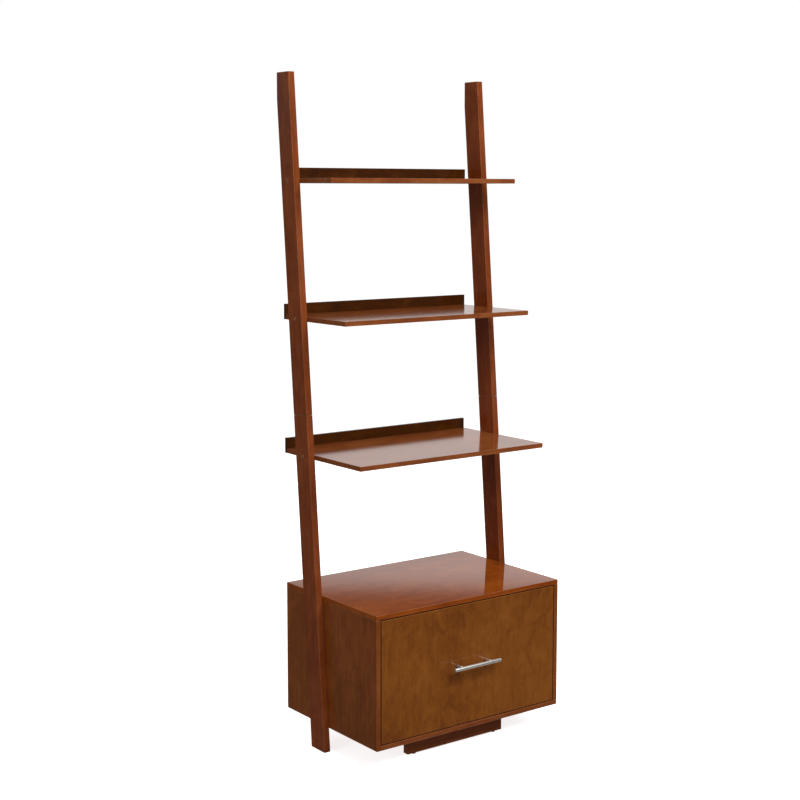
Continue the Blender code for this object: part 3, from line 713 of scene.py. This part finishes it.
def rolled_section(web, edge, half_height, lip):
    """A channel's outline in (across, height), counterclockwise or clockwise, as its side gives."""
    way = 1 if edge > web else -1
    inner = half_height - SHEET
    upper = [(web, half_height), (edge, half_height)]
    if lip:
        lip_face = edge - way * SHEET
        upper += [(edge, inner - lip), (lip_face, inner - lip), (lip_face, inner)]
    else:
        upper += [(edge, inner)]
    upper += [(web + way * SHEET, inner)]
    return np.array(upper + [(a, -h) for a, h in upper[::-1]])


def rounded_outline(outline, radius, steps=3):
    """Each corner is swapped for an arc that starts and ends one radius away along its sides.

    The arc is a quadratic curve with the corner as its handle:
    (1 - s)^2 start + 2 s (1 - s) corner + s^2 end.
    """
    back = np.roll(outline, 1, 0) - outline
    ahead = np.roll(outline, -1, 0) - outline
    back /= np.linalg.norm(back, axis=1)[:, None]
    ahead /= np.linalg.norm(ahead, axis=1)[:, None]
    s = np.linspace(0, 1, steps + 1)[None, :, None]
    start, end = outline + back * radius, outline + ahead * radius
    arc = (1 - s) ** 2 * start[:, None] + 2 * s * (1 - s) * outline[:, None] + s**2 * end[:, None]
    return arc.reshape(-1, 2)


def rolled_strip(name, section, z, start, end):
    """The section carried along Y: point = (across, y, z + height)."""
    area = np.cross(section, np.roll(section, -1, 0)).sum()
    section = section if area > 0 else section[::-1]
    y = np.array([start, end])[:, None] + 0 * section[None, :, 0]
    x = section[None, :, 0] + 0 * y
    height = z + section[None, :, 1] + 0 * y
    points = np.stack([x, y, height], -1).reshape(-1, 3)
    count = len(section)
    index = np.arange(2 * count).reshape(2, count)
    ends = [index[0].tolist(), index[1, ::-1].tolist()]
    return close_shell(name, index[:, ::-1], points, None, None, ends)


SLIDE_LIPS = {"cabinet": LIP, "middle": LIP, "drawer": 0}
BEND_RADIUS = 0.4 * MILLIMETRE
FILE_BAR_ARRIS = 0.5 * MILLIMETRE
for side, way in SIDES.items():
    for member, lip in SLIDE_LIPS.items():
        node = f"slide_{member}_{side}"
        low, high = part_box(node)
        near, far = (low.x, high.x) if way < 0 else (high.x, low.x)
        web, edge = (far, near) if member == "drawer" else (near, far)
        section = rolled_section(web, edge, (high.z - low.z) / 2, lip)
        section = rounded_outline(section, BEND_RADIUS)
        strip = rolled_strip(f"rolled_{node}", section, (low.z + high.z) / 2, low.y, high.y)
        stand_for(strip, node, zinc)
for place in ("front", "back"):
    node = f"file_bar_{place}"
    stand_for(eased_box(node, FILE_BAR_ARRIS), node, zinc)
print(f"slides: {(high.y - low.y) * 1000:.0f} mm long, of {SHEET * 1000:.1f} mm sheet")

# %% [markdown]
# ## The drawer's box and the hidden hardware
#
# The box is birch plywood, plain because it stays inside. Its faces are pale with a soft figure,
# and every sawn edge shows the plies as fine stripes. These pieces keep the frame's own meshes,
# with their grooves and notches, and only get a finish. The stripes are a wave across the board's
# thickness that shows where the surface turns away from it. The cabinet's back is pressed brown
# hardboard, and the hidden bolts, nuts, studs and screws are zinc-plated steel like the slides.

# %% Finish the plywood, the hardboard and the hidden steel
VENEER = {0.3: "#BE9A6C", 0.5: "#CFAE80", 0.7: "#DDC095"}
VENEER_FIGURE = (14, 240)  # millimetres across the grain and along it
PLIES = {0.35: "#8F6840", 0.65: "#D0AE80"}
PLY_PAIR = 2.7 * MILLIMETRE  # a light ply and a dark one
WAVE_REPEAT = math.pi / 10  # a Wave texture repeats after this many units
SAWN_LIMIT = 0.8  # an edge is sawn where less of the surface's normal than this crosses the plies


def birch_plywood(name, thickness_axis, turn):
    """Pale veneer on the faces, and on each sawn edge the plies in two tones."""
    finish, tree, shader = new_finish(name, IOR=1.5)
    texture = add_node(tree, "ShaderNodeTexCoord")
    coords = texture.outputs["Object"]
    place = add_node(
        tree,
        "ShaderNodeMapping",
        {"Vector": coords},
        {"Rotation": turn, "Scale": grain_size(*VENEER_FIGURE)},
        vector_type="TEXTURE",
    ).outputs["Vector"]
    figure = add_node(
        tree,
        "ShaderNodeTexNoise",
        {"Vector": place},
        {"Scale": 1.0, "Detail": 5.0, "Roughness": 0.6, "Distortion": 0.8},
    ).outputs["Fac"]
    veneer = add_node(tree, "ShaderNodeValToRGB", {"Fac": figure}, stops=VENEER).outputs["Color"]
    plies = add_node(
        tree,
        "ShaderNodeTexWave",
        {"Vector": coords},
        {"Scale": WAVE_REPEAT / PLY_PAIR, "Distortion": 0.6, "Detail": 2.0},
        wave_type="BANDS",
        bands_direction=thickness_axis,
    ).outputs["Fac"]
    layers = add_node(tree, "ShaderNodeValToRGB", {"Fac": plies}, stops=PLIES).outputs["Color"]
    facing = add_node(tree, "ShaderNodeSeparateXYZ", {"Vector": texture.outputs["Normal"]})
    away = add_node(
        tree, "ShaderNodeMath", {0: facing.outputs[thickness_axis]}, operation="ABSOLUTE"
    ).outputs["Value"]
    sawn = add_node(
        tree, "ShaderNodeMath", {0: away}, {1: SAWN_LIMIT}, operation="LESS_THAN"
    ).outputs["Value"]
    colour = add_node(
        tree,
        "ShaderNodeMix",
        {"Factor": sawn, COLOUR_A: veneer, COLOUR_B: layers},
        data_type="RGBA",
    ).outputs[COLOUR_OUT]
    tree.links.new(colour, shader.inputs["Base Color"])
    gloss = add_node(tree, "ShaderNodeMapRange", {"Value": figure}, {"To Min": 0.5, "To Max": 0.64})
    tree.links.new(gloss.outputs["Result"], shader.inputs["Roughness"])
    relief = add_node(
        tree, "ShaderNodeBump", {"Height": figure}, {"Strength": 0.2, "Distance": 0.0003}
    ).outputs["Normal"]
    tree.links.new(relief, shader.inputs["Normal"])
    return finish


hardboard, tree, shader = new_finish("tempered hardboard", IOR=1.48)
coords = add_node(tree, "ShaderNodeTexCoord").outputs["Object"]
fibres = add_node(  # pressed fibres about 3 mm long
    tree,
    "ShaderNodeTexNoise",
    {"Vector": coords},
    {"Scale": 330.0, "Detail": 4.0, "Roughness": 0.7},
).outputs["Fac"]
HARDBOARD = {0.3: "#4A2E1C", 0.7: "#6B4730"}
board_tone = add_node(tree, "ShaderNodeValToRGB", {"Fac": fibres}, stops=HARDBOARD)
tree.links.new(board_tone.outputs["Color"], shader.inputs["Base Color"])
pressed = add_node(tree, "ShaderNodeMapRange", {"Value": fibres}, {"To Min": 0.55, "To Max": 0.75})
tree.links.new(pressed.outputs["Result"], shader.inputs["Roughness"])

side_ply = birch_plywood("birch plywood, box sides", "X", GRAIN_TURNS["deep"])
end_ply = birch_plywood("birch plywood, box front and back", "Y", GRAIN_TURNS["across"])
bottom_ply = birch_plywood("birch plywood, box bottom", "Z", GRAIN_TURNS["across"])
kept = {
    "drawer_box_side_left": side_ply,
    "drawer_box_side_right": side_ply,
    "drawer_box_front": end_ply,
    "drawer_box_back": end_ply,
    "drawer_box_bottom": bottom_ply,
    "cabinet_back": hardboard,
}
steel_starts = ("barrel_nut", "post_stud", "cabinet_bolt", "foot_screw", "pull_screw")
kept |= {node: zinc for node in BODY_OF if node.startswith(steel_starts)}
for node, finish in kept.items():
    mesh = frame["nodes"][node].data
    mesh.materials.clear()
    mesh.materials.append(finish)
print("nodes that keep the frame's mesh:", len(kept))

# %% [markdown]
# ## The floor
#
# A piece of furniture needs something to stand on and to shade softly. The floor is matt and lit
# almost to white, and it glows a little, so that it meets the white surround without a line. It is
# hidden from matt and glossy rays, or it would light the undersides of the shelves too strongly.

# %% Lay the floor
floor_material, tree, shader = new_finish(
    "matt white studio floor", Roughness=0.9, Emission_Color=(1, 1, 1, 1), Emission_Strength=0.8
)
coords = add_node(tree, "ShaderNodeTexCoord").outputs["Object"]
scuffs = add_node(
    tree, "ShaderNodeTexNoise", {"Vector": coords}, {"Scale": 3.0, "Detail": 3.0}
).outputs["Fac"]
FLOOR_TONE = {0.0: "#F6F6F6", 1.0: "#FAFAFA"}
floor_tone = add_node(tree, "ShaderNodeValToRGB", {"Fac": scuffs}, stops=FLOOR_TONE)
tree.links.new(floor_tone.outputs["Color"], shader.inputs["Base Color"])
FLOOR_HALF = 60.0
floor_corners = rectangle((-FLOOR_HALF, -FLOOR_HALF), (FLOOR_HALF, FLOOR_HALF))
floor_mesh = bpy.data.meshes.new("studio floor")
floor_mesh.from_pydata([(x, y, 0) for x, y in floor_corners], [], [(0, 1, 2, 3)])
floor_mesh.materials.append(floor_material)
floor = bpy.data.objects.new("studio floor", floor_mesh)
floor.visible_diffuse = False
floor.visible_glossy = False
bpy.context.scene.collection.objects.link(floor)
floor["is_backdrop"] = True
print(f"floor: {2 * FLOOR_HALF:.0f} m square")

# %% [markdown]
# ## The surround
#
# Lacquer shows the room around it, so the surround matters as much as the lamps. One world shader
# gives each kind of ray its own room. The eye sees plain white and matt surfaces get a dim, even
# light. Gloss sees a room that is bright below and above and dark at eye level, with a white wall
# behind the piece. The wall ends about fifteen degrees above the horizon, so flat lacquered tops
# mirror it only where they are seen at a flat enough angle.

# %% Surround the studio with light
AMBIENT = 0.27
WALL_TURN = math.radians(36)  # the white wall stands behind the piece and a little to its right
WALL_SIDES = (0.3, 0.75)  # cosines of the angles from its middle where it begins and is full
ROOM_GLOSS = {0.0: 0.5, 0.26: 0.45, 0.31: 0.07, 0.66: 0.07, 0.73: 0.6, 1.0: 1.0}  # below to above
WALL_GLOSS = {0.0: 0.0, 0.06: 0.9, 0.12: 1.0, 0.252: 1.0, 0.262: 0.0}  # by height over the horizon
surround = bpy.data.worlds.new("white studio")
surround.use_nodes = True
bpy.context.scene.world = surround
tree = surround.node_tree
rays = add_node(tree, "ShaderNodeLightPath").outputs
direction = add_node(tree, "ShaderNodeTexCoord").outputs["Generated"]
height = add_node(tree, "ShaderNodeSeparateXYZ", {"Vector": direction}).outputs["Z"]
whole = add_node(
    tree, "ShaderNodeMapRange", {"Value": height}, {"From Min": -1.0}
).outputs["Result"]
room = add_node(tree, "ShaderNodeValToRGB", {"Fac": whole}, stops=ROOM_GLOSS)
wall = add_node(tree, "ShaderNodeValToRGB", {"Fac": height}, stops=WALL_GLOSS)
toward_wall = add_node(
    tree,
    "ShaderNodeVectorMath",
    {0: direction},
    {1: (math.sin(WALL_TURN), math.cos(WALL_TURN), 0)},
    operation="DOT_PRODUCT",
).outputs["Value"]
behind = add_node(
    tree,
    "ShaderNodeMapRange",
    {"Value": toward_wall},
    {"From Min": WALL_SIDES[0], "From Max": WALL_SIDES[1]},
).outputs["Result"]
mirrored = add_node(
    tree,
    "ShaderNodeMath",
    {0: wall.outputs["Color"], 1: behind, 2: room.outputs["Color"]},
    operation="MULTIPLY_ADD",
).outputs["Value"]
gloss_or_matt = add_node(
    tree, "ShaderNodeMix", {"Factor": rays["Is Glossy Ray"], "B": mirrored}, {"A": AMBIENT}
).outputs["Result"]
strength = add_node(
    tree, "ShaderNodeMix", {"Factor": rays["Is Camera Ray"], "A": gloss_or_matt}, {"B": 1.0}
).outputs["Result"]
background = tree.nodes["Background"]
background.inputs["Color"].default_value = (1, 1, 1, 1)
tree.links.new(strength, background.inputs["Strength"])
wall_end = math.degrees(math.asin(max(WALL_GLOSS)))
print(f"the white wall ends {wall_end:.0f} degrees above the horizon")

# %% [markdown]
# ## The softboxes
#
# Three square area lights model the shapes. The key hangs high in front and lights the tops and the
# drawer's front, a weak fill on the left keeps the posts' sides readable, and a light behind lifts
# the rear edges off the white.


# %% Hang the softboxes
def softbox(name, place, aim, width, watts):
    """A square area light at a place, turned to face a point."""
    light = bpy.data.lights.new(name, "AREA")
    light.size = width
    light.energy = watts
    box = bpy.data.objects.new(name, light)
    box.location = place
    box.rotation_mode = "QUATERNION"
    box.rotation_quaternion = (Vector(aim) - Vector(place)).to_track_quat("-Z", "Y")
    bpy.context.scene.collection.objects.link(box)
    return box


MIDDLE = (0, 0, 0.8)  # metres, the point all three light
key = softbox("key softbox", (-0.1, -3.3, 3.6), MIDDLE, 2.0, 150)
fill = softbox("left fill", (-4.2, -0.4, 1.7), MIDDLE, 1.6, 28)
back_light = softbox("back light", (1.8, 3.4, 2.8), MIDDLE, 1.8, 60)
back_light.visible_glossy = False  # else it whitens a lacquered top in half of the views
print("watts:", {box.name: box.data.energy for box in (key, fill, back_light)})

# %% [markdown]
# ## The camera
#
# The camera stands to the left of the front, a little below the upper shelf, with a moderately long
# lens. It looks down slightly and its lens is shifted a little, which keeps the tall piece in the
# frame with almost parallel posts.

# %% Place the camera
EYE = Vector((-2.480, -3.221, 1.485))
LOOK_TURN = math.radians(36.58)
LOOK_DOWN = math.radians(6.53)
camera_data = bpy.data.cameras.new("camera")
camera_data.sensor_width = 36
camera_data.lens = 68.2
camera_data.shift_y = -0.045
camera = bpy.data.objects.new("camera", camera_data)
camera.location = EYE
camera.rotation_euler = (math.pi / 2 - LOOK_DOWN, 0, -LOOK_TURN)
bpy.context.scene.collection.objects.link(camera)
bpy.context.scene.camera = camera
bpy.context.scene.view_settings.view_transform = "Standard"
print(f"camera: {EYE.length:.2f} m away, {EYE.z:.2f} m high, {camera_data.lens:.0f} mm lens")

# %% [markdown]
# ## The size of the finished pieces
#
# The box of the finished pieces is printed, axis by axis, in millimetres.

# %% Print the box of the finished pieces
visual_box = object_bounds()
for name, low, high in zip("XYZ", *visual_box):
    print(f"{name}: {low * 1000:.1f} to {high * 1000:.1f} mm")
